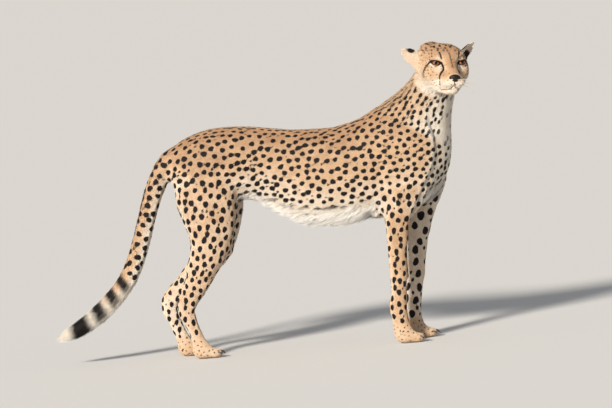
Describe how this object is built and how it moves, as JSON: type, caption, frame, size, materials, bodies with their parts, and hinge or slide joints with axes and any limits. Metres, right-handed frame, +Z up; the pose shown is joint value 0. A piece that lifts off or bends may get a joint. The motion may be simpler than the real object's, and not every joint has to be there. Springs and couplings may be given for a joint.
{
  "type": "cheetah model",
  "caption": "Life-size still model of a standing cheetah, its head turned over its right shoulder and its tail trailing low behind.",
  "frame": {"origin": "on the floor, below the middle of the whole animal's bounding box", "axes": "+X is the way the body points, +Y is the animal's left, +Z is up"},
  "size_m": [1.3594, 0.3092, 0.9265],
  "materials": {
    "tawny_coat": "short tawny fur with solid black spots",
    "pale_coat": "short cream fur",
    "eye": "wet amber eye",
    "nose_leather": "black nose leather",
    "claw": "dark worn horn",
    "whisker": "pale stiff hair"
  },
  "bodies": {
    "root": {"claw_front_left_1": "claw", "claw_front_left_2": "claw", "claw_front_left_3": "claw", "claw_front_left_4": "claw", "claw_front_right_1": "claw", "claw_front_right_2": "claw", "claw_front_right_3": "claw", "claw_front_right_4": "claw", "claw_hind_left_1": "claw", "claw_hind_left_2": "claw", "claw_hind_left_3": "claw", "claw_hind_left_4": "claw", "claw_hind_right_1": "claw", "claw_hind_right_2": "claw", "claw_hind_right_3": "claw", "claw_hind_right_4": "claw", "ear_left": "tawny_coat", "ear_right": "tawny_coat", "eye_left": "eye", "eye_right": "eye", "head": "tawny_coat", "leg_front_left": "tawny_coat", "leg_front_right": "tawny_coat", "leg_hind_left": "tawny_coat", "leg_hind_right": "tawny_coat", "neck": "tawny_coat", "nose": "nose_leather", "paw_front_left": "pale_coat", "paw_front_right": "pale_coat", "paw_hind_left": "pale_coat", "paw_hind_right": "pale_coat", "tail_middle": "tawny_coat", "tail_root": "tawny_coat", "tail_tip": "pale_coat", "trunk": "tawny_coat"}
  },
  "joints": []
}
